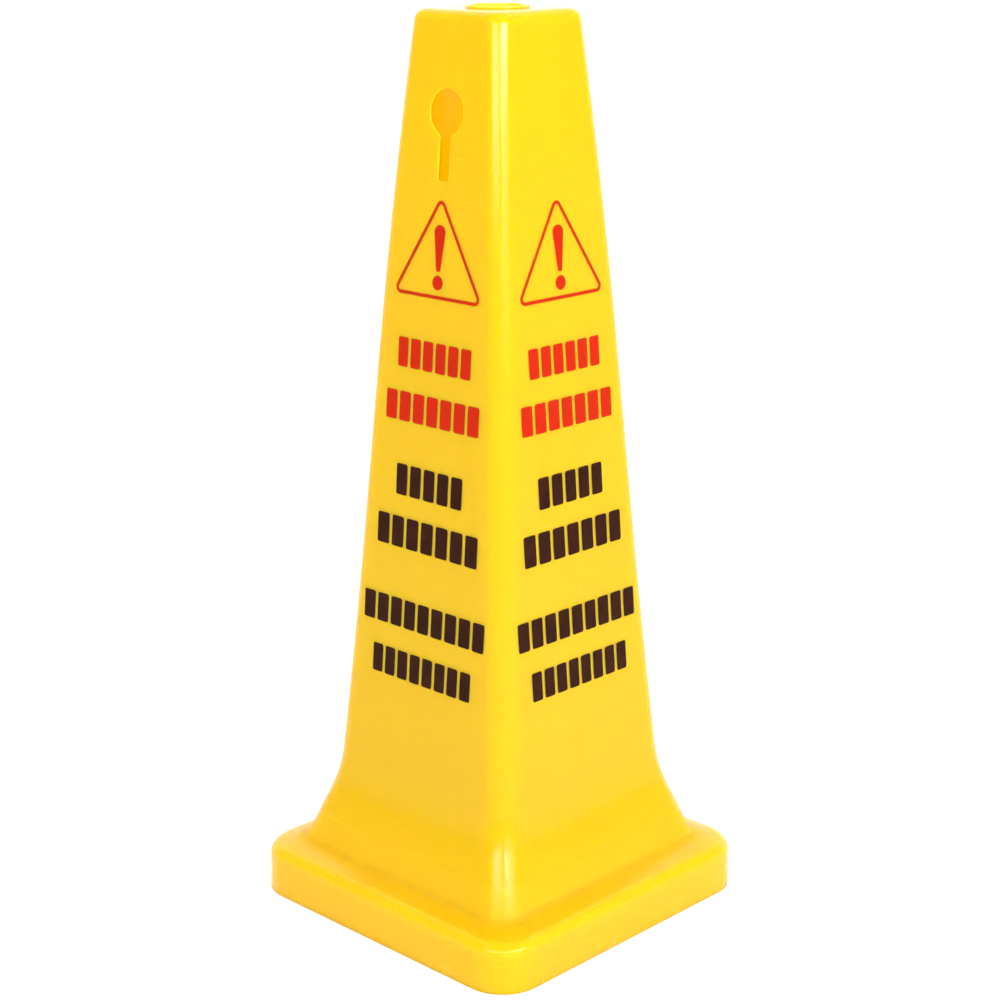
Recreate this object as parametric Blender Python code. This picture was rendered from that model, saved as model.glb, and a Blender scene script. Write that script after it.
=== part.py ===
"""A free-standing four-sided wet-floor cone: one hollow moulding and the ink marks printed on its faces.

Metres, +Z up. The origin is on the floor, under the middle of the base. The two faces with a keyhole
look along -Y (front) and +Y (back). Every horizontal section of the moulding is a rounded square,
given by its half width, its corner radius and its height.
"""

import math

import bmesh
import bpy
from mathutils import Matrix, Vector

# Heights of the moulding
HEIGHT = 0.660
COLLAR_RISE = 0.002
SHOULDER_Z = HEIGHT - COLLAR_RISE
LEDGE_OUTER_Z = 0.036
LEDGE_INNER_Z = 0.040
BEND_Z = 0.0976

# Half widths of its sections, and of the round socket in its top
BASE_HALF = 0.1335
BASE_DRAFT = 0.0007
SKIRT_HALF = 0.1095
BEND_HALF = 0.0897
TOP_HALF = 0.0434
COLLAR_RADIUS = 0.0225
SOCKET_RADIUS = 0.0190

# The taper draws in a little below its middle and swells a little above it
SWELL = 0.0010
DRAW = 0.0009

# Corner radii of the sections
BASE_CORNER = 0.031
FOOT_CORNER = 0.018
TOP_CORNER = 0.0115

# Rounding between the moulding's surfaces
BASE_EDGE_RADIUS = 0.009
CREASE_RADIUS = 0.005
BEND_RADIUS = 0.140
SHOULDER_RADIUS = 0.008
COLLAR_EDGE_RADIUS = 0.0006

# Walls
WALL = 0.0025
BASE_WALL = 0.0035

# Keyhole for a barrier chain, through the front wall and the back wall
KEYHOLE_HEAD_Z = 0.5905
KEYHOLE_HEAD_RADIUS = 0.0158
KEYHOLE_SLOT_HALF = 0.0051
KEYHOLE_SLOT_BOTTOM_Z = 0.5445
KEYHOLE_NECK_RADIUS = 0.004
KEYHOLE_END_RADIUS = 0.0015

# Ink films: they stand clear of the wall by GAP
GAP = 0.0003
FILM = 0.0003

# Printed warning triangle, with an upright bar and a dot inside it
TRIANGLE_BASE_Z = 0.4635
TRIANGLE_HALF = 0.0445
TRIANGLE_HEIGHT = 0.0715
TRIANGLE_STROKE = 0.0025
TRIANGLE_CORNER = 0.0045
TRIANGLE_INNER_CORNER = 0.0020
BAR_TOP_Z = 0.5145
BAR_BOTTOM_Z = 0.4825
BAR_TOP_HALF = 0.0068
BAR_BOTTOM_HALF = 0.0022
BAR_CORNER_SHARE = 0.8
DOT_Z = 0.4747
DOT_RADIUS = 0.0050

# Printed lines, in pairs from the top down: ink, upper centre height, upper and lower width, line height
LINE_PAIRS = (
    ("red", 0.4225, 0.0720, 0.0925, 0.0210),
    ("black", 0.3310, 0.0660, 0.1010, 0.0225),
    ("black", 0.2330, 0.1225, 0.1000, 0.0210),
)
LINE_PITCH = 0.0385
LINE_CORNER = 0.0015

# Fineness of the mesh: steps of each rounding, and the angle above which an edge is shaded sharp
CORNER_STEPS = 6
BASE_EDGE_STEPS = 4
CREASE_STEPS = 3
BEND_STEPS = 5
SHOULDER_STEPS = 4
SMALL_STEPS = 2
NECK_STEPS = 3
MARK_CORNER_STEPS = 4
CIRCLE_STEPS = 20
TAPER_STEPS = 7
TAPER_START_Z = 0.150
TAPER_END_Z = 0.640
SHARP_DEGREES = 35

# Each printed face and its turn about +Z from the front
FACES = (("front", 0), ("right", 90), ("back", 180), ("left", 270))

# Colour, roughness
YELLOW_PLASTIC = ((0.98, 0.62, 0.02), 0.33)
RED_INK = ((0.72, 0.05, 0.01), 0.45)
BLACK_INK = ((0.02, 0.015, 0.01), 0.45)


def clear_scene():
    for obj in list(bpy.data.objects):
        bpy.data.objects.remove(obj)


def plain_material(name, look):
    colour, roughness = look
    material = bpy.data.materials.new(name)
    material.use_nodes = True
    shader = material.node_tree.nodes["Principled BSDF"]
    shader.inputs["Base Color"].default_value = (*colour, 1.0)
    shader.inputs["Roughness"].default_value = roughness
    shader.inputs["Metallic"].default_value = 0.0
    return material


def lerp(start, end, share):
    return start + (end - start) * share


# ---------------------------------------------------------------- flat outlines


def fillet(before, corner, after, radius, steps):
    """The arc that rounds a corner of a flat outline, as points from before's side to after's."""
    corner = Vector(corner)
    first = (Vector(before) - corner).normalized()
    second = (Vector(after) - corner).normalized()
    half_angle = first.angle(second) / 2
    centre = corner + (first + second).normalized() * radius / math.sin(half_angle)
    start = corner + first * radius / math.tan(half_angle) - centre
    end = corner + second * radius / math.tan(half_angle) - centre
    sweep = start.angle_signed(end)
    return [centre + Matrix.Rotation(-sweep * i / steps, 2) @ start for i in range(steps + 1)]


def arc(u, z, radius, start, end, steps):
    """Points of a flat arc from one angle to another, in radians."""
    angles = [lerp(start, end, i / steps) for i in range(steps + 1)]
    return [Vector((u + radius * math.cos(a), z + radius * math.sin(a))) for a in angles]


def rounded_outline(corners, steps):
    """A closed outline from (u, z, radius) corners."""
    points = []
    for i, (u, z, radius) in enumerate(corners):
        before = corners[i - 1][:2]
        after = corners[(i + 1) % len(corners)][:2]
        points += fillet(before, (u, z), after, radius, steps)
    return points


# ---------------------------------------------------------------- the moulding


def taper_half(z):
    """Half width of the tapering column at height z."""
    share = (z - BEND_Z) / (SHOULDER_Z - BEND_Z)
    bow = SWELL * math.sin(math.pi * share) - DRAW * math.sin(2 * math.pi * share)
    return lerp(BEND_HALF, TOP_HALF, share) + bow


def taper_heights():
    return [lerp(TAPER_START_Z, TAPER_END_Z, i / TAPER_STEPS) for i in range(TAPER_STEPS + 1)]


def base_corner(half):
    """Corner radius of a section of the base or its ledge."""
    return lerp(FOOT_CORNER, BASE_CORNER, (half - SKIRT_HALF) / (BASE_HALF - SKIRT_HALF))


def column_corner(z):
    """Corner radius of a section of the skirt or the column."""
    return lerp(FOOT_CORNER, TOP_CORNER, (z - LEDGE_INNER_Z) / (SHOULDER_Z - LEDGE_INNER_Z))


def top_corner(half):
    """Corner radius of a section that the shoulder's rounding has drawn in."""
    return TOP_CORNER - (TOP_HALF - half) / 2


def wall_sections(inset, base_inset):
    """Sections from the floor to the shoulder, of the outer skin (inset 0) or of the inner one."""
    floor = (BASE_HALF - base_inset, 0.0)
    base_edge = (BASE_HALF - BASE_DRAFT - base_inset, LEDGE_OUTER_Z - inset)
    crease = (SKIRT_HALF - inset, LEDGE_INNER_Z - inset)
    bend = (BEND_HALF - inset, BEND_Z)
    taper = [(taper_half(z) - inset, z) for z in taper_heights()]
    shoulder = (TOP_HALF - inset, SHOULDER_Z - inset)
    middle = (0.0, SHOULDER_Z - inset)
    base = [floor] + fillet(floor, base_edge, crease, BASE_EDGE_RADIUS - inset, BASE_EDGE_STEPS)
    column = fillet(base_edge, crease, bend, CREASE_RADIUS + inset, CREASE_STEPS)
    column += fillet(crease, bend, taper[0], BEND_RADIUS, BEND_STEPS)
    column += taper
    top = fillet(taper[-1], shoulder, middle, SHOULDER_RADIUS - inset, SHOULDER_STEPS)
    sections = [(half, base_corner(half + inset) - inset, z) for half, z in base]
    sections += [(half, column_corner(z) - inset, z) for half, z in column]
    sections += [(half, top_corner(half + inset) - inset, z) for half, z in top]
    return sections


def socket_sections():
    """The raised collar and the round socket, from the outside of the collar down through the top wall."""
    foot = (COLLAR_RADIUS, SHOULDER_Z)
    rim = (COLLAR_RADIUS, HEIGHT)
    mouth = (SOCKET_RADIUS, HEIGHT)
    under = (SOCKET_RADIUS, SHOULDER_Z - WALL)
    outline = [foot]
    outline += fillet(foot, rim, mouth, COLLAR_EDGE_RADIUS, SMALL_STEPS)
    outline += fillet(rim, mouth, under, COLLAR_EDGE_RADIUS, SMALL_STEPS)
    outline.append(under)
    return [(radius, radius, z) for radius, z in outline]


def section_points(half, corner, z):
    """One section, anticlockwise from above. It is a circle where its corner radius is its half width."""
    points = []
    turn = math.pi / 2
    round_section = corner >= half
    spread = turn * CORNER_STEPS / (CORNER_STEPS + 1) if round_section else turn
    for quarter in range(4):
        middle = turn * (quarter + 0.5)
        reach = 0.0 if round_section else (half - corner) * math.sqrt(2)
        centre = Vector((reach * math.cos(middle), reach * math.sin(middle), z))
        for i in range(CORNER_STEPS + 1):
            angle = middle + spread * (i / CORNER_STEPS - 0.5)
            points.append(centre + corner * Vector((math.cos(angle), math.sin(angle), 0.0)))
    return points


def new_object(name, mesh_maker, material, parent):
    mesh = bpy.data.meshes.new(name)
    shape = bmesh.new()
    mesh_maker(shape)
    bmesh.ops.recalc_face_normals(shape, faces=shape.faces)
    shape.to_mesh(mesh)
    shape.free()
    mesh.materials.append(material)
    obj = bpy.data.objects.new(name, mesh)
    bpy.context.scene.collection.objects.link(obj)
    obj.parent = parent
    return obj


def moulding_maker(shape):
    """Joins each section to the next, up the outside, through the socket and down the inside."""
    sections = wall_sections(0.0, 0.0) + socket_sections() + wall_sections(WALL, BASE_WALL)[::-1]
    rings = [[shape.verts.new(p) for p in section_points(*section)] for section in sections]
    count = len(rings[0])
    for lower, upper in zip(rings, rings[1:] + rings[:1]):
        for i in range(count):
            j = (i + 1) % count
            shape.faces.new((lower[i], lower[j], upper[j], upper[i]))


def keyhole_outline():
    """Round head over a narrow slot, with a small neck radius where they meet, anticlockwise."""
    side = KEYHOLE_SLOT_HALF
    end_z = KEYHOLE_SLOT_BOTTOM_Z
    neck = side + KEYHOLE_NECK_RADIUS
    drop = math.sqrt((KEYHOLE_HEAD_RADIUS + KEYHOLE_NECK_RADIUS) ** 2 - neck**2)
    neck_z = KEYHOLE_HEAD_Z - drop
    meeting = math.atan2(drop, neck)
    head = arc(0.0, KEYHOLE_HEAD_Z, KEYHOLE_HEAD_RADIUS, -meeting, math.pi + meeting, CIRCLE_STEPS)
    left_neck = arc(-neck, neck_z, KEYHOLE_NECK_RADIUS, meeting, 0.0, NECK_STEPS)[1:]
    left_end = fillet((-side, neck_z), (-side, end_z), (side, end_z), KEYHOLE_END_RADIUS, SMALL_STEPS)
    right_end = fillet((-side, end_z), (side, end_z), (side, neck_z), KEYHOLE_END_RADIUS, SMALL_STEPS)
    right_neck = arc(neck, neck_z, KEYHOLE_NECK_RADIUS, math.pi, math.pi - meeting, NECK_STEPS)[:-1]
    return head + left_neck + left_end + right_end + right_neck


def keyhole_cutter_maker(shape):
    """The keyhole's outline as a prism that runs through the front wall and the back wall."""
    outline = keyhole_outline()
    front = [shape.verts.new((p.x, -BASE_HALF, p.y)) for p in outline]
    back = [shape.verts.new((p.x, BASE_HALF, p.y)) for p in outline]
    shape.faces.new(front)
    shape.faces.new(back[::-1])
    for i in range(len(outline)):
        j = (i + 1) % len(outline)
        shape.faces.new((front[j], front[i], back[i], back[j]))


def add_moulding(material, parent):
    body = new_object("cone_body", moulding_maker, material, parent)
    cutter = new_object("keyhole_cutter", keyhole_cutter_maker, material, parent)
    cutter.hide_render = True
    cutter.display_type = "WIRE"
    cut = body.modifiers.new("keyholes", "BOOLEAN")
    cut.operation = "DIFFERENCE"
    cut.solver = "EXACT"
    cut.object = cutter
    body.data.shade_smooth()
    body.data.set_sharp_from_angle(angle=math.radians(SHARP_DEGREES))


# ---------------------------------------------------------------- the printed marks


def on_face(point, lift, turn):
    """A point of a face's outline, lifted off the wall, on the face at that turn about +Z."""
    place = Vector((point.x, -(taper_half(point.y) + lift), point.y))
    return Matrix.Rotation(math.radians(turn), 3, "Z") @ place


def film_maker(outer, inner, turn):
    """Makes a thin film from its outline, or a ring from two outlines of the same number of points."""

    def make(shape):
        levels = (GAP, GAP + FILM)
        low, high = [[shape.verts.new(on_face(p, lift, turn)) for p in outer] for lift in levels]
        count = len(outer)
        for i in range(count):
            j = (i + 1) % count
            shape.faces.new((low[i], low[j], high[j], high[i]))
        if not inner:
            shape.faces.new(low[::-1])
            shape.faces.new(high)
            return
        low_in, high_in = [[shape.verts.new(on_face(p, lift, turn)) for p in inner] for lift in levels]
        for i in range(count):
            j = (i + 1) % count
            shape.faces.new((low_in[j], low_in[i], high_in[i], high_in[j]))
            shape.faces.new((high[i], high[j], high_in[j], high_in[i]))
            shape.faces.new((low[j], low[i], low_in[i], low_in[j]))

    return make


def triangle_outline(inset, radius):
    """The warning triangle, drawn in by inset on its three sides, with its corners rounded."""
    slope = math.atan2(TRIANGLE_HEIGHT, TRIANGLE_HALF)
    base_z = TRIANGLE_BASE_Z + inset
    half = TRIANGLE_HALF - inset / math.tan(slope / 2)
    apex_z = base_z + half * math.tan(slope)
    corners = ((-half, base_z, radius), (half, base_z, radius), (0.0, apex_z, radius))
    return rounded_outline(corners, MARK_CORNER_STEPS)


def bar_outline():
    """The upright bar, wide and round at its top and narrow at its foot."""
    foot_radius = BAR_BOTTOM_HALF * BAR_CORNER_SHARE
    head_radius = BAR_TOP_HALF * BAR_CORNER_SHARE
    corners = (
        (-BAR_BOTTOM_HALF, BAR_BOTTOM_Z, foot_radius),
        (BAR_BOTTOM_HALF, BAR_BOTTOM_Z, foot_radius),
        (BAR_TOP_HALF, BAR_TOP_Z, head_radius),
        (-BAR_TOP_HALF, BAR_TOP_Z, head_radius),
    )
    return rounded_outline(corners, MARK_CORNER_STEPS)


def line_outline(z, width, height):
    """A plain bar that stands in for a line of print."""
    side = width / 2
    bottom = z - height / 2
    top = z + height / 2
    corners = ((-side, bottom), (side, bottom), (side, top), (-side, top))
    return rounded_outline([(*corner, LINE_CORNER) for corner in corners], SMALL_STEPS)


def add_marks(face, turn, inks, parent):
    outer = triangle_outline(0.0, TRIANGLE_CORNER)
    inner = triangle_outline(TRIANGLE_STROKE, TRIANGLE_INNER_CORNER)
    ring = film_maker(outer, inner, turn)
    new_object(f"{face}_triangle", ring, inks["red"], parent)
    new_object(f"{face}_alert_bar", film_maker(bar_outline(), None, turn), inks["red"], parent)
    dot = arc(0.0, DOT_Z, DOT_RADIUS, 0.0, 2 * math.pi, CIRCLE_STEPS)[:-1]
    new_object(f"{face}_alert_dot", film_maker(dot, None, turn), inks["red"], parent)
    printed = {ink: 0 for ink in inks}
    for ink, upper_z, upper_width, lower_width, height in LINE_PAIRS:
        for z, width in ((upper_z, upper_width), (upper_z - LINE_PITCH, lower_width)):
            printed[ink] += 1
            name = f"{face}_{ink}_line_{printed[ink]}"
            film = film_maker(line_outline(z, width, height), None, turn)
            new_object(name, film, inks[ink], parent)


def main():
    clear_scene()
    cone = bpy.data.objects.new("wet_floor_cone", None)
    bpy.context.scene.collection.objects.link(cone)
    inks = {"red": plain_material("red_ink", RED_INK), "black": plain_material("black_ink", BLACK_INK)}
    add_moulding(plain_material("yellow_plastic", YELLOW_PLASTIC), cone)
    for face, turn in FACES:
        add_marks(face, turn, inks, cone)


main()
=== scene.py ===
"""The looks of a four-sided wet-floor cone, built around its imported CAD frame.

Metres, +Z up, origin on the floor under the middle of the base, front face towards -Y. The moulding is
rebuilt from the same sections as the CAD solid, with fine steps and rounded edges. The printed marks are
rebuilt as thin ink films on its surface, each where its CAD node is.
"""

import math

import bmesh
import bpy
from mathutils import Matrix, Vector


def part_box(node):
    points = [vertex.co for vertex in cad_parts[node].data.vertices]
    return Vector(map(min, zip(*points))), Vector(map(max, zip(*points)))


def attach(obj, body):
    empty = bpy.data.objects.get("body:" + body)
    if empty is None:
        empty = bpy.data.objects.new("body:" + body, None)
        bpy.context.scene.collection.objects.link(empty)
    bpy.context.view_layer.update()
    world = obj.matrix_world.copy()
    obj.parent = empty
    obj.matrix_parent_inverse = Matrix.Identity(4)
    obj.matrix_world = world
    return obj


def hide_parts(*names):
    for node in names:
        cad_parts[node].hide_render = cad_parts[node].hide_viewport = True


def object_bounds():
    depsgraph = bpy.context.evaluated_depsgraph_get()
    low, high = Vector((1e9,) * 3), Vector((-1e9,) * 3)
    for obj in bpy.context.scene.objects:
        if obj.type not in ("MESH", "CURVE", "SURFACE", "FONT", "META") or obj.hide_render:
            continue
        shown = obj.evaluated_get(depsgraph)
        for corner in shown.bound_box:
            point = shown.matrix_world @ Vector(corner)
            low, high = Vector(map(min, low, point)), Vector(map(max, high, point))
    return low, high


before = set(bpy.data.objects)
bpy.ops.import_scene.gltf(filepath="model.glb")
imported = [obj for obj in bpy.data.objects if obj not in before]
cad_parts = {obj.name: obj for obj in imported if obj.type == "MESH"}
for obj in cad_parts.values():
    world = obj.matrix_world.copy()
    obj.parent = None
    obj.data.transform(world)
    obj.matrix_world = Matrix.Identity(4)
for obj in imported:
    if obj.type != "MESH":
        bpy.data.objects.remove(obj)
cad_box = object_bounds()

# Driving dimensions: the first two come from the frame, the others repeat the CAD design
HEIGHT = cad_box[1].z
BASE_HALF = cad_box[1].x
COLLAR_RISE = 0.002
SHOULDER_Z = HEIGHT - COLLAR_RISE
LEDGE_OUTER_Z = 0.036
LEDGE_INNER_Z = 0.040
BEND_Z = 0.0976
BASE_DRAFT = 0.0007
SKIRT_HALF = 0.1095
BEND_HALF = 0.0897
TOP_HALF = 0.0434
COLLAR_RADIUS = 0.0225
SOCKET_RADIUS = 0.0190
SWELL = 0.0010
DRAW = 0.0009
WALL = 0.0025
BASE_WALL = 0.0035

# Corner radii of the sections, and the rounding between surfaces
BASE_CORNER = 0.031
FOOT_CORNER = 0.018
TOP_CORNER = 0.0115
BASE_EDGE_RADIUS = 0.009
CREASE_RADIUS = 0.005
BEND_RADIUS = 0.140
SHOULDER_RADIUS = 0.008
SMALL_RADIUS = 0.0006

# Keyhole for a barrier chain, and the patch of wall around it that is meshed to its outline
KEYHOLE_HEAD_Z = 0.5905
KEYHOLE_HEAD_RADIUS = 0.0158
KEYHOLE_SLOT_HALF = 0.0051
KEYHOLE_SLOT_BOTTOM_Z = 0.5445
KEYHOLE_NECK_RADIUS = 0.004
KEYHOLE_END_RADIUS = 0.0015
PATCH_HALF = 0.023
PATCH_BOTTOM_Z = 0.533
PATCH_TOP_Z = 0.617

# Fineness of the moulding's mesh: columns and rows of its skins, steps of its roundings
CORNER_STEPS = 12
SIDE_COLUMNS = 4
PATCH_COLUMNS = 28
PATCH_ROWS = 54
LOWER_ROWS = 56
UPPER_ROWS = 6
PATCH_RINGS = 6
RING_CROWDING = 1.6
ROUND_STEPS = 4
BASE_WALL_ROWS = (0.2, 0.4, 0.6)
BASE_EDGE_STEPS = 14
CREASE_STEPS = 12
BEND_STEPS = 24
SHOULDER_STEPS = 12
KEYHOLE_HEAD_STEPS = 80
KEYHOLE_NECK_STEPS = 16
KEYHOLE_END_STEPS = 12
TAPER_START_Z = 0.125
TAPER_END_Z = 0.640
WIDEST_PATCH_SHARE = 0.66

# Wear is 0 to 1 on exposed surfaces. In the crease it is a negative mark, which paints shade into the
# crease
RIM_WEAR = 1.0
BASE_WALL_WEAR = 0.25
BASE_EDGE_WEAR = 0.55
SHOULDER_WEAR = 0.5
COLLAR_WEAR = 0.4
KEYHOLE_OUTER_WEAR = 0.5
KEYHOLE_INNER_WEAR = 0.3
# Painted shade: the crease's negative mark darkens the crease
CREASE_SHADE_MARK = -1.0

# Ink films lie just off the surface
INK_GAP = 0.00003
INK_THICKNESS = 0.00005
INK_STEP = 0.006
TRIANGLE_STROKE = 0.0023
TRIANGLE_CORNER = 0.0045
TRIANGLE_EDGE_PARTS = 16
TRIANGLE_ROUNDS = 20
BAR_FOOT_SHARE = 0.33
BAR_CORNER_SHARE = 0.85
MARK_CORNER_STEPS = 10
DOT_STEPS = 48
FACES = (("front", 0), ("right", 90), ("back", 180), ("left", 270))

# Each printed line becomes a row of plain equal blocks. Their sizes are shares of the line's height
LINES = ("red_line_1", "red_line_2", "black_line_1", "black_line_2", "black_line_3", "black_line_4")
BLOCK_PITCH = 0.62
BLOCK_GAP = 0.13
BLOCK_CORNER = 0.07
BLOCK_CORNER_STEPS = 5

# Camera: place and heading in metres and degrees, lens in millimetres
CAMERA_AZIMUTH = 44.26
CAMERA_DISTANCE = 1.5055
CAMERA_HEIGHT = 0.7416
CAMERA_PITCH = 16.13
CAMERA_YAW = -0.03
CAMERA_ROLL = -0.14
CAMERA_LENS = 77.1
CAMERA_SENSOR_WIDTH = 36.0

# Light: radiance of the room and of the backdrop, power of the lamps, their distance, size of the floor
ROOM = 0.52
BACKDROP = 1.90
OVERHEAD_POWER = 1.5
FRONT_POWER = 1.6
SIDE_POWER = 0.5
STRIP_POWER = 50.0
RIGHT_POWER = 8.0
BACK_POWER = 0.4
LEFT_POWER = 28.0
SOFTBOX_DISTANCE = 2.0
SUN_DISTANCE = 3.0
FLOOR_RADIUS = 30.0
FLOOR_SEGMENTS = 96

# Colours of the plastic, of the grime that settles on it, of the shade painted into its crease and of where
# it is rubbed
PIGMENT = ((0.30, (0.958, 0.288, 0.001)), (0.52, (0.962, 0.294, 0.001)), (0.72, (0.967, 0.301, 0.001)))
STREAK = (0.97, 0.33, 0.003)
GRIME = (0.60, 0.33, 0.03)
# Darker colour of the shade painted into the crease
CREASE_SHADE = (0.72, 0.30, 0.002)
RUBBED = (0.98, 0.70, 0.10)

# Each ink: its colour where it is thin, where it is full and in its pinholes
RED_INK = ((0.28, 0.010, 0.0005), (0.32, 0.008, 0.0004), (0.55, 0.14, 0.002))
BLACK_INK = ((0.022, 0.004, 0.0005), (0.014, 0.002, 0.0003), (0.18, 0.06, 0.002))


def lerp(start, end, share):
    return start + (end - start) * share


# ---------------------------------------------------------------- flat outlines


def fillet(before, corner, after, radius, steps):
    """The arc that rounds a corner of a flat outline, as points from before's side to after's."""
    corner = Vector(corner)
    first = (Vector(before) - corner).normalized()
    second = (Vector(after) - corner).normalized()
    half_angle = first.angle(second) / 2
    centre = corner + (first + second).normalized() * radius / math.sin(half_angle)
    start = corner + first * radius / math.tan(half_angle) - centre
    end = corner + second * radius / math.tan(half_angle) - centre
    sweep = start.angle_signed(end)
    return [centre + Matrix.Rotation(-sweep * i / steps, 2) @ start for i in range(steps + 1)]


def arc(u, z, radius, start, end, steps):
    """Points of a flat arc from one angle to another, in radians."""
    angles = [lerp(start, end, i / steps) for i in range(steps + 1)]
    return [Vector((u + radius * math.cos(a), z + radius * math.sin(a))) for a in angles]


def rounded_outline(corners, steps):
    """A closed outline from (u, z, radius) corners."""
    points = []
    for i, (u, z, radius) in enumerate(corners):
        before = corners[i - 1][:2]
        after = corners[(i + 1) % len(corners)][:2]
        points += fillet(before, (u, z), after, radius, steps)
    return points


def evenly_spaced(path, count):
    """count + 1 points at equal distances along an open path."""
    lengths = [(b - a).length for a, b in zip(path, path[1:])]
    step = sum(lengths) / count
    spaced = [path[0]]
    travelled = 0.0
    for start, end, length in zip(path, path[1:], lengths):
        while len(spaced) < count and travelled + length >= step * len(spaced):
            share = (step * len(spaced) - travelled) / length
            spaced.append(start.lerp(end, share))
        travelled += length
    return spaced + [path[-1]]


def subdivided(outline, step):
    """A closed outline with points added so that none of its edges is longer than step."""
    points = []
    for start, end in zip(outline, outline[1:] + outline[:1]):
        parts = max(1, math.ceil((end - start).length / step))
        points += [start.lerp(end, i / parts) for i in range(parts)]
    return points


# ---------------------------------------------------------------- sections of the moulding


def taper_half(z):
    """Half width of the tapering column at height z."""
    share = (z - BEND_Z) / (SHOULDER_Z - BEND_Z)
    bow = SWELL * math.sin(math.pi * share) - DRAW * math.sin(2 * math.pi * share)
    return lerp(BEND_HALF, TOP_HALF, share) + bow


def taper_heights():
    lower = [lerp(TAPER_START_Z, PATCH_BOTTOM_Z, i / LOWER_ROWS) for i in range(LOWER_ROWS)]
    patch = [lerp(PATCH_BOTTOM_Z, PATCH_TOP_Z, i / PATCH_ROWS) for i in range(PATCH_ROWS)]
    upper = [lerp(PATCH_TOP_Z, TAPER_END_Z, i / UPPER_ROWS) for i in range(UPPER_ROWS + 1)]
    return lower + patch + upper


def base_corner(half):
    """Corner radius of a section of the base or its ledge."""
    return lerp(FOOT_CORNER, BASE_CORNER, (half - SKIRT_HALF) / (BASE_HALF - SKIRT_HALF))


def column_corner(z):
    """Corner radius of a section of the skirt or the column."""
    return lerp(FOOT_CORNER, TOP_CORNER, (z - LEDGE_INNER_Z) / (SHOULDER_Z - LEDGE_INNER_Z))


def top_corner(half):
    """Corner radius of a section that the shoulder's rounding has drawn in."""
    return TOP_CORNER - (TOP_HALF - half) / 2


def wall_sections(inset, base_inset, floor_round):
    """Sections (half width, corner radius, height, wear or painted crease shade) from the floor to the
    shoulder, of one skin.
    """
    wall_mid = (BASE_HALF - BASE_WALL / 2, 0.0)
    floor = (BASE_HALF - base_inset, 0.0)
    base_edge = (BASE_HALF - BASE_DRAFT - base_inset, LEDGE_OUTER_Z - inset)
    crease = (SKIRT_HALF - inset, LEDGE_INNER_Z - inset)
    bend = (BEND_HALF - inset, BEND_Z)
    taper = [(taper_half(z) - inset, z) for z in taper_heights()]
    shoulder = (TOP_HALF - inset, SHOULDER_Z - inset)
    middle = (0.0, SHOULDER_Z - inset)
    foot = fillet(wall_mid, floor, base_edge, floor_round, ROUND_STEPS)
    wall = [foot[-1].lerp(Vector(base_edge), share) for share in BASE_WALL_ROWS]
    roll = fillet(floor, base_edge, crease, BASE_EDGE_RADIUS - inset, BASE_EDGE_STEPS)
    valley = fillet(base_edge, crease, bend, CREASE_RADIUS + inset, CREASE_STEPS)
    flare = fillet(crease, bend, taper[0], BEND_RADIUS, BEND_STEPS)
    top = fillet(taper[-1], shoulder, middle, SHOULDER_RADIUS - inset, SHOULDER_STEPS)
    sections = [(half, base_corner(half + inset) - inset, z, RIM_WEAR) for half, z in foot]
    sections += [(half, base_corner(half + inset) - inset, z, BASE_WALL_WEAR) for half, z in wall]
    sections += [(half, base_corner(half + inset) - inset, z, BASE_EDGE_WEAR) for half, z in roll]
    # The crease carries the negative mark that paints shade into it
    sections += [(half, column_corner(z) - inset, z, CREASE_SHADE_MARK) for half, z in valley]
    sections += [(half, column_corner(z) - inset, z, 0.0) for half, z in flare + taper]
    sections += [(half, top_corner(half + inset) - inset, z, SHOULDER_WEAR) for half, z in top]
    return sections


def socket_sections():
    """The raised collar and the round socket, from the outside of the collar down through the top wall."""
    foot = (COLLAR_RADIUS, SHOULDER_Z)
    rim = (COLLAR_RADIUS, HEIGHT)
    mouth = (SOCKET_RADIUS, HEIGHT)
    under = (SOCKET_RADIUS, SHOULDER_Z - WALL)
    shelf = (COLLAR_RADIUS, SHOULDER_Z - WALL)
    outline = [(COLLAR_RADIUS + SMALL_RADIUS, SHOULDER_Z), foot]
    outline += fillet(foot, rim, mouth, SMALL_RADIUS, ROUND_STEPS)
    outline += fillet(rim, mouth, under, SMALL_RADIUS, ROUND_STEPS)
    outline += fillet(mouth, under, shelf, SMALL_RADIUS, ROUND_STEPS)
    return [(radius, radius, z, COLLAR_WEAR) for radius, z in outline]


def side_shares(flat):
    """Where the columns of a side are, as shares of the half length of its flat part."""
    inner = min(PATCH_HALF / flat, WIDEST_PATCH_SHARE) if flat > 0 else WIDEST_PATCH_SHARE
    left = [lerp(-1.0, -inner, i / SIDE_COLUMNS) for i in range(1, SIDE_COLUMNS)]
    middle = [lerp(-inner, inner, i / PATCH_COLUMNS) for i in range(PATCH_COLUMNS + 1)]
    right = [lerp(inner, 1.0, i / SIDE_COLUMNS) for i in range(1, SIDE_COLUMNS)]
    return left + middle + right


def quarter_points(half, corner, z):
    """A quarter of a section: the front side's flat part, then the corner towards the right side."""
    flat = half - corner
    points = [Vector((share * flat, -half, z)) for share in side_shares(flat)]
    for i in range(CORNER_STEPS + 1):
        angle = -math.pi / 2 * (1 - i / CORNER_STEPS)
        points.append(Vector((flat + corner * math.cos(angle), -flat + corner * math.sin(angle), z)))
    return points


def circle_quarter(radius, z, count):
    """A quarter of a round section, with the points spread evenly around it."""
    start = -math.pi * 3 / 4
    angles = [start + math.pi / 2 * (i + 0.5) / count for i in range(count)]
    return [Vector((radius * math.cos(a), radius * math.sin(a), z)) for a in angles]


def section_ring(half, corner, z):
    """All points of one section, anticlockwise from above, from the left end of the front side."""
    count = len(side_shares(1.0)) + CORNER_STEPS + 1
    quarter = circle_quarter(half, z, count) if corner >= half else quarter_points(half, corner, z)
    return [Matrix.Rotation(math.pi / 2 * side, 3, "Z") @ p for side in range(4) for p in quarter]


# ---------------------------------------------------------------- keyholes


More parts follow.
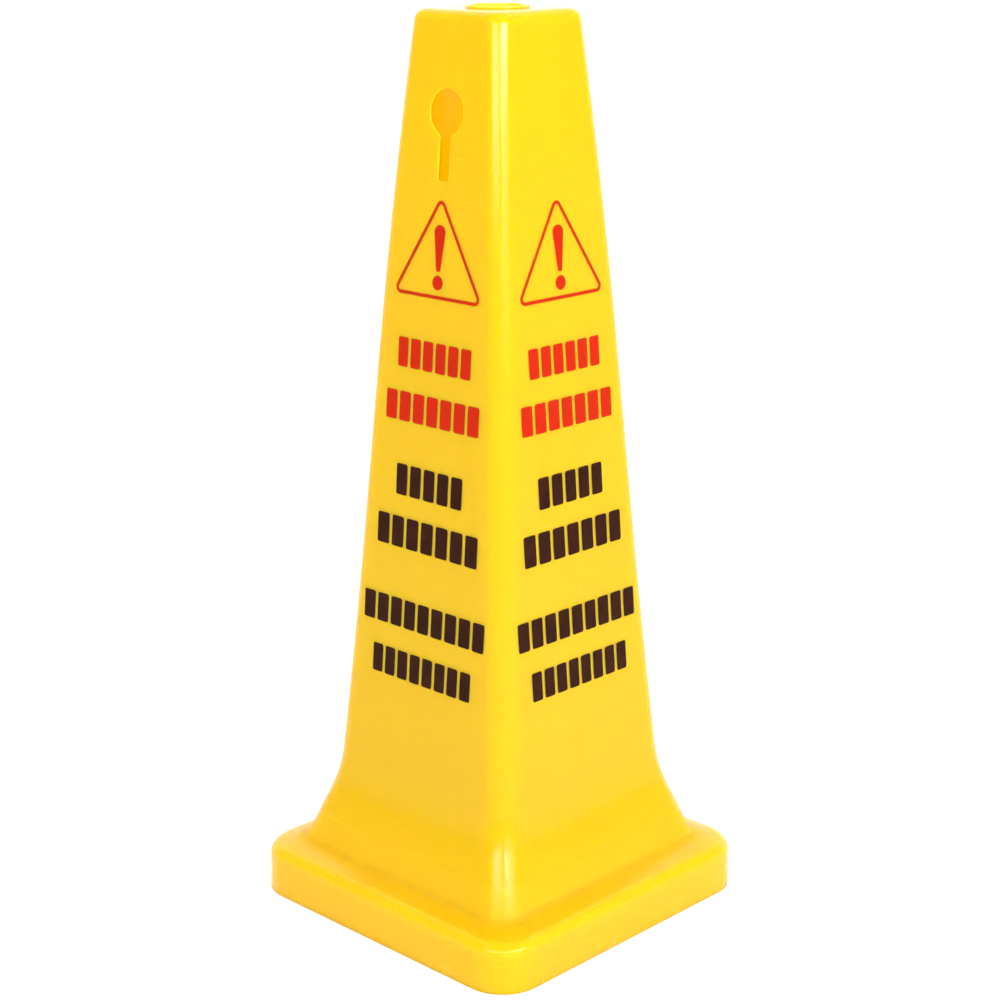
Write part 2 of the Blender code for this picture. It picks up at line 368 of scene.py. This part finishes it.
def keyhole_half_outline():
    """The keyhole's right half from the top down: its head, its slot, and the height where they meet."""
    side = KEYHOLE_SLOT_HALF
    end_z = KEYHOLE_SLOT_BOTTOM_Z
    neck = side + KEYHOLE_NECK_RADIUS
    drop = math.sqrt((KEYHOLE_HEAD_RADIUS + KEYHOLE_NECK_RADIUS) ** 2 - neck**2)
    neck_z = KEYHOLE_HEAD_Z - drop
    meeting = math.atan2(drop, neck)
    head = arc(0.0, KEYHOLE_HEAD_Z, KEYHOLE_HEAD_RADIUS, math.pi / 2, -meeting, KEYHOLE_HEAD_STEPS)
    waist = arc(neck, neck_z, KEYHOLE_NECK_RADIUS, math.pi - meeting, math.pi, KEYHOLE_NECK_STEPS)
    foot = fillet((side, neck_z), (side, end_z), (-side, end_z), KEYHOLE_END_RADIUS, KEYHOLE_END_STEPS)
    slot = [waist[-1]] + foot + [Vector((0.0, end_z))]
    return head + waist[1:], slot, neck_z


def keyhole_loop():
    """The keyhole's outline, clockwise from the top of its head.

    It has one point for each point of the patch's edge. That edge starts at the top middle, so the
    head takes the points down to the neck's height.
    """
    head, slot, neck_z = keyhole_half_outline()
    row = (PATCH_TOP_Z - PATCH_BOTTOM_Z) / PATCH_ROWS
    head_count = PATCH_COLUMNS // 2 + round((PATCH_TOP_Z - neck_z) / row)
    slot_count = PATCH_COLUMNS + PATCH_ROWS - head_count
    right = evenly_spaced(head, head_count) + evenly_spaced(slot, slot_count)[1:]
    left = [Vector((-p.x, p.y)) for p in right[-2:0:-1]]
    return right + left


def outward_normals(loop):
    """Normals of a clockwise loop, away from the hole."""
    normals = []
    for i in range(len(loop)):
        along = (loop[(i + 1) % len(loop)] - loop[i - 1]).normalized()
        normals.append(Vector((-along.y, along.x)))
    return normals


def on_face(point, lift, turn):
    """A point (across, up) of a face, lifted off the outer skin, on the face at that turn about +Z."""
    place = Vector((point.x, -(taper_half(point.y) + lift), point.y))
    return Matrix.Rotation(math.radians(turn), 3, "Z") @ place


def patch_edge(rings, rows, first_column):
    """The vertices round a keyhole's patch of wall, clockwise from the top middle as seen from outside."""
    low, high = rows
    left, right = first_column, first_column + PATCH_COLUMNS
    middle = (left + right) // 2
    edge = [rings[high][c] for c in range(middle, right)]
    edge += [rings[r][right] for r in range(high, low, -1)]
    edge += [rings[low][c] for c in range(right, left, -1)]
    edge += [rings[r][left] for r in range(low, high)]
    edge += [rings[high][c] for c in range(left, middle)]
    return edge


def join_loops(shape, outer, inner):
    """Faces between two closed loops of the same number of vertices."""
    for i in range(len(outer)):
        j = (i + 1) % len(outer)
        shape.faces.new((outer[i], outer[j], inner[j], inner[i]))


def moved(loop, normals, distance):
    """A loop drawn away from the hole by a distance."""
    return [point + normal * distance for point, normal in zip(loop, normals)]


def patch_rings(loop, edge):
    """The rings of flat points between a patch's edge and the keyhole, crowded towards the keyhole."""
    rings = []
    for ring in range(1, PATCH_RINGS):
        share = 1 - (1 - ring / PATCH_RINGS) ** RING_CROWDING
        rings.append([outside.lerp(inside, share) for outside, inside in zip(edge, loop)])
    return rings


def keyhole_profile(edge):
    """(flat loop, depth, wear) from the outer skin's patch, through the hole, to the inner skin's patch."""
    loop = keyhole_loop()
    normals = outward_normals(loop)
    skin = patch_rings(moved(loop, normals, SMALL_RADIUS), edge)
    edges = []
    for step in range(ROUND_STEPS + 1):
        angle = math.pi / 2 * step / ROUND_STEPS
        away = SMALL_RADIUS * (1 - math.sin(angle))
        depth = SMALL_RADIUS * (1 - math.cos(angle))
        edges.append((moved(loop, normals, away), depth))
    profile = [(flat, 0.0, 0.0) for flat in skin]
    profile += [(flat, depth, KEYHOLE_OUTER_WEAR) for flat, depth in edges]
    profile += [(flat, WALL - depth, KEYHOLE_INNER_WEAR) for flat, depth in edges[::-1]]
    profile += [(flat, WALL, 0.0) for flat in skin[::-1]]
    return profile


def add_keyhole(shape, wear_and_shade, outer_edge, inner_edge, turn):
    """Fills both skins of a patch up to the keyhole and lines the hole, with its edges rounded."""
    unturn = Matrix.Rotation(math.radians(-turn), 3, "Z")
    turned = [unturn @ vert.co for vert in outer_edge]
    last = outer_edge
    for flat, depth, wear_and_shade_mark in keyhole_profile([Vector((p.x, p.z)) for p in turned]):
        made = [shape.verts.new(on_face(p, -depth, turn)) for p in flat]
        for vert in made:
            vert[wear_and_shade] = wear_and_shade_mark
        join_loops(shape, last, made)
        last = made
    join_loops(shape, last, inner_edge)


# ---------------------------------------------------------------- the moulding


def ring_vertices(shape, wear_and_shade, section):
    half, corner, z, wear_and_shade_mark = section
    ring = [shape.verts.new(p) for p in section_ring(half, corner, z)]
    for vert in ring:
        vert[wear_and_shade] = wear_and_shade_mark
    return ring


def row_of(sections, z):
    """The number of the section at height z."""
    return min(range(len(sections)), key=lambda i: abs(sections[i][2] - z))


def in_hole(row, column, holes):
    """Whether a face of a skin lies in one of the patches, given as (lowest row, top row, first column)."""
    return any(low <= row < high and left <= column < left + PATCH_COLUMNS for low, high, left in holes)


def add_skin(shape, rings, holes):
    """Faces between each ring and the next, left open where a keyhole's patch is."""
    count = len(rings[0])
    for row, (lower, upper) in enumerate(zip(rings, rings[1:])):
        for column in range(count):
            after = (column + 1) % count
            if not in_hole(row, column, holes):
                shape.faces.new((lower[column], lower[after], upper[after], upper[column]))


def moulding_mesh():
    shape = bmesh.new()
    # This layer holds real wear, and in the crease a negative mark for painted shade
    wear_and_shade = shape.verts.layers.float.new("wear_and_shade")
    outer = wall_sections(0.0, 0.0, SMALL_RADIUS)
    inner = wall_sections(WALL, BASE_WALL, SMALL_RADIUS)
    outer_rings = [ring_vertices(shape, wear_and_shade, section) for section in outer]
    socket_rings = [ring_vertices(shape, wear_and_shade, section) for section in socket_sections()]
    inner_rings = [ring_vertices(shape, wear_and_shade, section) for section in inner]
    low, high = row_of(outer, PATCH_BOTTOM_Z), row_of(outer, PATCH_TOP_Z)
    top_row = len(inner) - 1
    quarter = len(outer_rings[0]) // 4
    holes = []
    holes_from_top = []
    for turn in (0, 180):
        left = SIDE_COLUMNS - 1 + quarter * turn // 90
        holes.append((low, high, left))
        holes_from_top.append((top_row - high, top_row - low, left))
        outer_edge = patch_edge(outer_rings, (low, high), left)
        inner_edge = patch_edge(inner_rings, (low, high), left)
        add_keyhole(shape, wear_and_shade, outer_edge, inner_edge, turn)
    add_skin(shape, outer_rings, holes)
    add_skin(shape, [outer_rings[-1]] + socket_rings + [inner_rings[-1]], [])
    add_skin(shape, inner_rings[::-1], holes_from_top)
    add_skin(shape, [inner_rings[0], outer_rings[0]], [])
    bmesh.ops.recalc_face_normals(shape, faces=shape.faces)
    mesh = bpy.data.meshes.new("moulding")
    shape.to_mesh(mesh)
    shape.free()
    mesh.shade_smooth()
    return mesh


# ---------------------------------------------------------------- printed marks


def film_faces(shape, outer, inner, turn):
    """A thin film over its outline, or a ring between two outlines of the same number of points."""
    levels = (INK_GAP, INK_GAP + INK_THICKNESS)
    low, high = [[shape.verts.new(on_face(p, lift, turn)) for p in outer] for lift in levels]
    join_loops(shape, low, high)
    if not inner:
        shape.faces.new(low[::-1])
        shape.faces.new(high)
        return
    low_in, high_in = [[shape.verts.new(on_face(p, lift, turn)) for p in inner] for lift in levels]
    join_loops(shape, high, high_in)
    join_loops(shape, high_in, low_in)
    join_loops(shape, low_in, low)


def film_mesh(name, outlines, turn):
    """A mesh of films: outlines is a list of (outer outline, inner outline or None)."""
    shape = bmesh.new()
    for outer, inner in outlines:
        film_faces(shape, outer, inner, turn)
    bmesh.ops.recalc_face_normals(shape, faces=shape.faces)
    mesh = bpy.data.meshes.new(name)
    shape.to_mesh(mesh)
    shape.free()
    return mesh


def face_box(node, turn):
    """(middle across, bottom, half width, top) of a mark's CAD node, in its own face's directions."""
    unturn = Matrix.Rotation(math.radians(-turn), 3, "Z")
    low, high = [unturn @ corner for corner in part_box(node)]
    across = sorted((low.x, high.x))
    return (across[0] + across[1]) / 2, low.z, (across[1] - across[0]) / 2, high.z


def triangle_outline(base_z, half, height, inset):
    """The rounded warning triangle, drawn in by inset on its three sides."""
    slope = math.atan2(height, half)
    low = base_z + inset
    reach = half - inset / math.tan(slope / 2)
    radius = max(TRIANGLE_CORNER - inset, SMALL_RADIUS)
    corners = ((-reach, low, radius), (reach, low, radius), (0.0, low + reach * math.tan(slope), radius))
    return rounded_outline(corners, MARK_CORNER_STEPS)


def sharp_triangle(half, height):
    """(half width, height) of the triangle whose rounded corners just fill a box of that size.

    The slope of its sides depends on the answer, so it is found again a few times over.
    """
    slope = math.atan2(height, half)
    for _ in range(TRIANGLE_ROUNDS):
        sharp_half = half - TRIANGLE_CORNER + TRIANGLE_CORNER / math.tan(slope / 2)
        sharp_height = height - TRIANGLE_CORNER + TRIANGLE_CORNER / math.cos(slope)
        slope = math.atan2(sharp_height, sharp_half)
    return sharp_half, sharp_height


def triangle_ring(node, turn):
    _, low, half, high = face_box(node, turn)
    sharp_half, sharp_height = sharp_triangle(half, high - low)
    outer = triangle_outline(low, sharp_half, sharp_height, 0.0)
    inner = triangle_outline(low, sharp_half, sharp_height, TRIANGLE_STROKE)
    return [(split_edges(outer), split_edges(inner))]


def split_edges(outline):
    """The triangle's outline with each of its three long edges cut into parts."""
    per_corner = len(outline) // 3
    points = []
    for i, point in enumerate(outline):
        points.append(point)
        if i % per_corner == per_corner - 1:
            after = outline[(i + 1) % len(outline)]
            points += [point.lerp(after, k / TRIANGLE_EDGE_PARTS) for k in range(1, TRIANGLE_EDGE_PARTS)]
    return points


def bar_outline(node, turn):
    """The upright bar, wide and round at its top and narrow at its foot."""
    _, low, half, high = face_box(node, turn)
    foot = half * BAR_FOOT_SHARE
    corners = (
        (-foot, low, foot * BAR_CORNER_SHARE),
        (foot, low, foot * BAR_CORNER_SHARE),
        (half, high, half * BAR_CORNER_SHARE),
        (-half, high, half * BAR_CORNER_SHARE),
    )
    return [(subdivided(rounded_outline(corners, MARK_CORNER_STEPS), INK_STEP), None)]


def dot_outline(node, turn):
    middle, low, half, high = face_box(node, turn)
    return [(arc(middle, (low + high) / 2, half, 0.0, 2 * math.pi, DOT_STEPS)[:-1], None)]


def block_row(node, turn):
    """A row of plain upright blocks that fills a mark's box from end to end."""
    _, low, half, high = face_box(node, turn)
    height = high - low
    gap = height * BLOCK_GAP
    blocks = round(2 * half / (height * BLOCK_PITCH))
    width = (2 * half + gap) / blocks - gap
    radius = height * BLOCK_CORNER
    outlines = []
    for block in range(blocks):
        left = -half + block * (width + gap)
        right = left + width
        corners = ((left, low, radius), (right, low, radius), (right, high, radius), (left, high, radius))
        outlines.append((subdivided(rounded_outline(corners, BLOCK_CORNER_STEPS), INK_STEP), None))
    return outlines


# ---------------------------------------------------------------- materials


def start_material(name):
    material = bpy.data.materials.new(name)
    material.use_nodes = True
    return material, material.node_tree.nodes, material.node_tree.links


def add_noise(nodes, links, source, scale, detail, roughness=0.5):
    noise = nodes.new("ShaderNodeTexNoise")
    noise.inputs["Scale"].default_value = scale
    noise.inputs["Detail"].default_value = detail
    noise.inputs["Roughness"].default_value = roughness
    links.new(source, noise.inputs["Vector"])
    return noise.outputs["Fac"]


def add_stretch(nodes, links, source, scale, turn):
    """The coordinates stretched and turned, for marks that run one way."""
    mapping = nodes.new("ShaderNodeMapping")
    mapping.inputs["Scale"].default_value = scale
    mapping.inputs["Rotation"].default_value = turn
    links.new(source, mapping.inputs["Vector"])
    return mapping.outputs["Vector"]


def add_ramp(nodes, links, source, stops):
    """A colour ramp through (position, grey or colour) stops."""
    ramp = nodes.new("ShaderNodeValToRGB")
    elements = ramp.color_ramp.elements
    while len(elements) < len(stops):
        elements.new(1.0)
    for element, (position, colour) in zip(elements, stops):
        element.position = position
        element.color = (colour, colour, colour, 1.0) if isinstance(colour, float) else (*colour, 1.0)
    links.new(source, ramp.inputs["Fac"])
    return ramp.outputs["Color"]


def add_math(nodes, links, operation, first, second):
    node = nodes.new("ShaderNodeMath")
    node.operation = operation
    for socket, value in zip(node.inputs, (first, second)):
        if isinstance(value, float):
            socket.default_value = value
        else:
            links.new(value, socket)
    return node.outputs["Value"]


def add_mix(nodes, links, share, first, second):
    node = nodes.new("ShaderNodeMix")
    node.data_type = "RGBA"
    for socket, value in ((node.inputs[0], share), (node.inputs[6], first), (node.inputs[7], second)):
        if isinstance(value, float):
            socket.default_value = value
        elif isinstance(value, tuple):
            socket.default_value = (*value, 1.0)
        else:
            links.new(value, socket)
    return node.outputs[2]


def add_bump(nodes, links, height, strength, distance, normal=None):
    bump = nodes.new("ShaderNodeBump")
    bump.inputs["Strength"].default_value = strength
    bump.inputs["Distance"].default_value = distance
    links.new(height, bump.inputs["Height"])
    if normal:
        links.new(normal, bump.inputs["Normal"])
    return bump.outputs["Normal"]


def add_scratches(nodes, links, place, scale, turn, threshold):
    """Thin separate lines: the tops of a noise that is stretched along one direction."""
    stretched = add_stretch(nodes, links, place, scale, turn)
    lines = add_noise(nodes, links, stretched, 1.0, 3.0, 0.6)
    return add_ramp(nodes, links, lines, ((threshold, 0.0), (threshold + 0.03, 1.0)))


def height_above_floor(nodes, links, place):
    parts = nodes.new("ShaderNodeSeparateXYZ")
    links.new(place, parts.inputs["Vector"])
    return parts.outputs["Z"]


def floor_grime(nodes, links, place):
    """Where grime clings: patches that fade out 50 mm above the floor."""
    near_floor = nodes.new("ShaderNodeMapRange")
    near_floor.inputs["From Min"].default_value = 0.05
    near_floor.inputs["From Max"].default_value = 0.0
    links.new(height_above_floor(nodes, links, place), near_floor.inputs["Value"])
    patches = add_noise(nodes, links, place, 45.0, 6.0, 0.65)
    patches = add_ramp(nodes, links, patches, ((0.46, 0.0), (0.70, 0.22)))
    return add_math(nodes, links, "MULTIPLY", patches, near_floor.outputs["Result"])


def crease_painted_shade(nodes, links, wear_and_shade):
    """Painted shade in the crease: half of the crease's negative mark, turned positive."""
    settled = add_math(nodes, links, "MULTIPLY", wear_and_shade, -0.5)
    return add_math(nodes, links, "MAXIMUM", settled, 0.0)


def scuffs(nodes, links, place, wear_and_shade):
    """Where the plastic is rubbed: chips on its exposed edges, and patches of thin scratches."""
    chips = add_noise(nodes, links, place, 260.0, 5.0, 0.7)
    chips = add_ramp(nodes, links, chips, ((0.52, 0.0), (0.66, 1.0)))
    exposed = add_math(nodes, links, "MAXIMUM", wear_and_shade, 0.0)
    edge_wear = add_math(nodes, links, "MULTIPLY", chips, exposed)
    level = add_scratches(nodes, links, place, (18.0, 18.0, 900.0), (0.06, 0.04, 0.3), 0.66)
    slanted = add_scratches(nodes, links, place, (700.0, 700.0, 22.0), (0.5, 0.3, 0.2), 0.68)
    scratched = add_math(nodes, links, "MAXIMUM", level, slanted)
    patches = add_noise(nodes, links, place, 9.0, 2.0)
    patches = add_ramp(nodes, links, patches, ((0.50, 0.0), (0.66, 1.0)))
    scratched = add_math(nodes, links, "MULTIPLY", scratched, patches)
    return add_math(nodes, links, "MAXIMUM", edge_wear, scratched)


def plastic_colour(nodes, links, place, grime, crease_shade, rubbed):
    """Clouded and faintly streaked pigment, under the grime, the shade painted into the crease and the
    scuffs.
    """
    clouds = add_noise(nodes, links, place, 7.0, 4.0, 0.55)
    colour = add_ramp(nodes, links, clouds, PIGMENT)
    stretched = add_stretch(nodes, links, place, (60.0, 60.0, 7.0), (0, 0, 0))
    streaks = add_noise(nodes, links, stretched, 1.0, 3.0)
    streak_share = add_ramp(nodes, links, streaks, ((0.35, 0.0), (0.75, 0.12)))
    colour = add_mix(nodes, links, streak_share, colour, STREAK)
    colour = add_mix(nodes, links, grime, colour, GRIME)
    # Painted shade: the crease is mixed towards a darker colour
    colour = add_mix(nodes, links, crease_shade, colour, CREASE_SHADE)
    rubbed_share = add_math(nodes, links, "MULTIPLY", rubbed, 0.13)
    return add_mix(nodes, links, rubbed_share, colour, RUBBED)


def plastic_roughness(nodes, links, place, grime, crease_shade, rubbed):
    """A satin gloss that varies a little, duller where the plastic is rubbed or grimy, and in the crease
    where shade is painted.
    """
    roughness = add_noise(nodes, links, place, 30.0, 5.0, 0.6)
    roughness = add_ramp(nodes, links, roughness, ((0.30, 0.16), (0.70, 0.21)))
    thick_crease_shade = add_math(nodes, links, "MULTIPLY", crease_shade, crease_shade)
    for layer, dulling in ((rubbed, 0.14), (grime, 0.5), (thick_crease_shade, 1.6)):
        dulled = add_math(nodes, links, "MULTIPLY", layer, dulling)
        roughness = add_math(nodes, links, "ADD", roughness, dulled)
    return roughness


def plastic_relief(nodes, links, place, rubbed):
    """The slight sag of a moulded wall, a fine grain, and the scuffs' shallow marks."""
    sag = add_noise(nodes, links, place, 16.0, 2.0)
    normal = add_bump(nodes, links, sag, 0.12, 0.0012)
    grain = add_noise(nodes, links, place, 1500.0, 3.0, 0.6)
    normal = add_bump(nodes, links, grain, 0.10, 0.00010, normal)
    return add_bump(nodes, links, rubbed, -0.15, 0.00006, normal)


def yellow_plastic():
    """Satin moulded plastic, thin enough for light to come through it."""
    material, nodes, links = start_material("yellow_plastic")
    shader = nodes["Principled BSDF"]
    place = nodes.new("ShaderNodeTexCoord").outputs["Object"]
    wear_and_shade_mark = nodes.new("ShaderNodeAttribute")
    wear_and_shade_mark.attribute_name = "wear_and_shade"
    grime = floor_grime(nodes, links, place)
    # The crease's painted shade, from the negative mark of the wear layer
    crease_shade = crease_painted_shade(nodes, links, wear_and_shade_mark.outputs["Fac"])
    rubbed = scuffs(nodes, links, place, wear_and_shade_mark.outputs["Fac"])
    links.new(plastic_colour(nodes, links, place, grime, crease_shade, rubbed), shader.inputs["Base Color"])
    links.new(plastic_roughness(nodes, links, place, grime, crease_shade, rubbed), shader.inputs["Roughness"])
    links.new(plastic_relief(nodes, links, place, rubbed), shader.inputs["Normal"])
    shader.inputs["IOR"].default_value = 1.40
    shader.inputs["Specular IOR Level"].default_value = 0.25
    shader.inputs["Subsurface Weight"].default_value = 1.0
    shader.inputs["Subsurface Radius"].default_value = (1.0, 0.65, 0.3)
    shader.inputs["Subsurface Scale"].default_value = 0.03
    return material


def ink(name, thin, full, pinhole):
    """Screen-printed ink: uneven cover, pinholes that let the plastic through, and a fine mesh grain."""
    material, nodes, links = start_material(name)
    shader = nodes["Principled BSDF"]
    place = nodes.new("ShaderNodeTexCoord").outputs["Object"]
    cover = add_noise(nodes, links, place, 70.0, 5.0, 0.6)
    colour = add_ramp(nodes, links, cover, ((0.34, thin), (0.62, full)))
    specks = add_noise(nodes, links, place, 1500.0, 2.0, 0.5)
    specks = add_ramp(nodes, links, specks, ((0.70, 0.0), (0.76, 0.55)))
    colour = add_mix(nodes, links, specks, colour, pinhole)
    links.new(colour, shader.inputs["Base Color"])
    roughness = add_noise(nodes, links, place, 120.0, 4.0)
    roughness = add_ramp(nodes, links, roughness, ((0.35, 0.34), (0.70, 0.46)))
    links.new(roughness, shader.inputs["Roughness"])
    grain = add_noise(nodes, links, place, 2200.0, 2.0)
    links.new(add_bump(nodes, links, grain, 0.15, 0.00004), shader.inputs["Normal"])
    shader.inputs["IOR"].default_value = 1.48
    shader.inputs["Specular IOR Level"].default_value = 0.06
    return material


def pale_floor():
    """A plain pale matt floor with a faint fleck."""
    material, nodes, links = start_material("pale_floor")
    shader = nodes["Principled BSDF"]
    place = nodes.new("ShaderNodeTexCoord").outputs["Object"]
    fleck = add_noise(nodes, links, place, 60.0, 4.0)
    tone = add_ramp(nodes, links, fleck, ((0.35, (0.73, 0.73, 0.729)), (0.65, (0.74, 0.74, 0.739))))
    links.new(tone, shader.inputs["Base Color"])
    shader.inputs["Roughness"].default_value = 0.7
    return material


# ---------------------------------------------------------------- putting it together


def place_piece(name, mesh, material, node):
    """A piece on the root body that stands for one CAD node."""
    mesh.materials.append(material)
    piece = bpy.data.objects.new(name, mesh)
    bpy.context.scene.collection.objects.link(piece)
    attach(piece, "root")
    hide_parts(node)


def add_marks(face, turn, inks):
    outlines = {
        "triangle": ("red", triangle_ring(f"{face}_triangle", turn)),
        "alert_bar": ("red", bar_outline(f"{face}_alert_bar", turn)),
        "alert_dot": ("red", dot_outline(f"{face}_alert_dot", turn)),
    }
    for line in LINES:
        outlines[line] = (line.split("_")[0], block_row(f"{face}_{line}", turn))
    for mark, (colour, shapes) in outlines.items():
        node = f"{face}_{mark}"
        name = f"{node}_print"
        place_piece(name, film_mesh(name, shapes, turn), inks[colour], node)


def add_floor():
    mesh = bpy.data.meshes.new("floor")
    shape = bmesh.new()
    bmesh.ops.create_circle(shape, cap_ends=True, radius=FLOOR_RADIUS, segments=FLOOR_SEGMENTS)
    shape.to_mesh(mesh)
    shape.free()
    mesh.materials.append(pale_floor())
    floor = bpy.data.objects.new("floor", mesh)
    bpy.context.scene.collection.objects.link(floor)


def direction(azimuth, elevation):
    """Unit vector from the cone to that azimuth, measured from -Y towards +X, and elevation, in degrees."""
    a, e = math.radians(azimuth), math.radians(elevation)
    return Vector((math.sin(a) * math.cos(e), -math.cos(a) * math.cos(e), math.sin(e)))


def add_light(name, kind, place, target, energy, **settings):
    light = bpy.data.lights.new(name, kind)
    light.energy = energy
    for key, value in settings.items():
        setattr(light, key, value)
    lamp = bpy.data.objects.new(name, light)
    lamp.location = place
    lamp.rotation_euler = (Vector(target) - Vector(place)).to_track_quat("-Z", "Y").to_euler()
    bpy.context.scene.collection.objects.link(lamp)
    return lamp


def add_sun(name, azimuth, elevation, power, spread):
    """Broad soft light from one direction, left out of reflections."""
    place = direction(azimuth, elevation) * SUN_DISTANCE
    lamp = add_light(name, "SUN", place, (0.0, 0.0, 0.0), power, angle=math.radians(spread))
    lamp.visible_glossy = False


def add_softbox(name, azimuth, low, high, width, power):
    """An upright softbox that faces the cone, from height low to height high."""
    middle = (low + high) / 2
    place = direction(azimuth, 0.0) * SOFTBOX_DISTANCE + Vector((0.0, 0.0, middle))
    target = (0.0, 0.0, middle)
    add_light(name, "AREA", place, target, power, shape="RECTANGLE", size=width, size_y=high - low)


def studio_world():
    """A dim room with a broad pale backdrop behind the cone, opposite the camera's place."""
    world = bpy.data.worlds.new("studio")
    bpy.context.scene.world = world
    world.use_nodes = True
    nodes, links = world.node_tree.nodes, world.node_tree.links
    place = nodes.new("ShaderNodeTexCoord").outputs["Generated"]
    facing = nodes.new("ShaderNodeVectorMath")
    facing.operation = "DOT_PRODUCT"
    links.new(place, facing.inputs[0])
    facing.inputs[1].default_value = direction(CAMERA_AZIMUTH + 180.0, 0.0)
    tone = add_ramp(nodes, links, facing.outputs["Value"], ((0.28, ROOM), (0.55, BACKDROP)))
    links.new(tone, nodes["Background"].inputs["Color"])


def add_lights():
    add_sun("overhead", azimuth=0.0, elevation=90.0, power=OVERHEAD_POWER, spread=110.0)
    add_sun("front", azimuth=20.0, elevation=20.0, power=FRONT_POWER, spread=50.0)
    add_sun("side", azimuth=95.0, elevation=20.0, power=SIDE_POWER, spread=50.0)
    add_sun("back", azimuth=225.0, elevation=30.0, power=BACK_POWER, spread=70.0)
    add_softbox("right_strip", azimuth=79.0, low=0.97, high=1.13, width=1.55, power=STRIP_POWER)
    add_softbox("right_softbox", azimuth=79.0, low=0.45, high=0.97, width=1.55, power=RIGHT_POWER)
    add_softbox("left_softbox", azimuth=23.0, low=0.80, high=1.20, width=1.50, power=LEFT_POWER)
    studio_world()


def add_camera():
    camera = bpy.data.objects.new("camera", bpy.data.cameras.new("camera"))
    camera.data.lens = CAMERA_LENS
    camera.data.sensor_width = CAMERA_SENSOR_WIDTH
    camera.location = direction(CAMERA_AZIMUTH, 0.0) * CAMERA_DISTANCE + Vector((0.0, 0.0, CAMERA_HEIGHT))
    heading = Matrix.Rotation(math.radians(CAMERA_AZIMUTH + CAMERA_YAW), 4, "Z")
    tilt = Matrix.Rotation(math.radians(90.0 - CAMERA_PITCH), 4, "X")
    roll = Matrix.Rotation(math.radians(CAMERA_ROLL), 4, "Z")
    camera.matrix_world = Matrix.Translation(camera.location) @ heading @ tilt @ roll
    bpy.context.scene.collection.objects.link(camera)
    bpy.context.scene.camera = camera


add_camera()
add_lights()
add_floor()
bpy.context.scene.view_settings.view_transform = "Standard"

place_piece("cone_moulding", moulding_mesh(), yellow_plastic(), "cone_body")
printing_inks = {"red": ink("red_ink", *RED_INK), "black": ink("black_ink", *BLACK_INK)}
for face_name, face_turn in FACES:
    add_marks(face_name, face_turn, printing_inks)
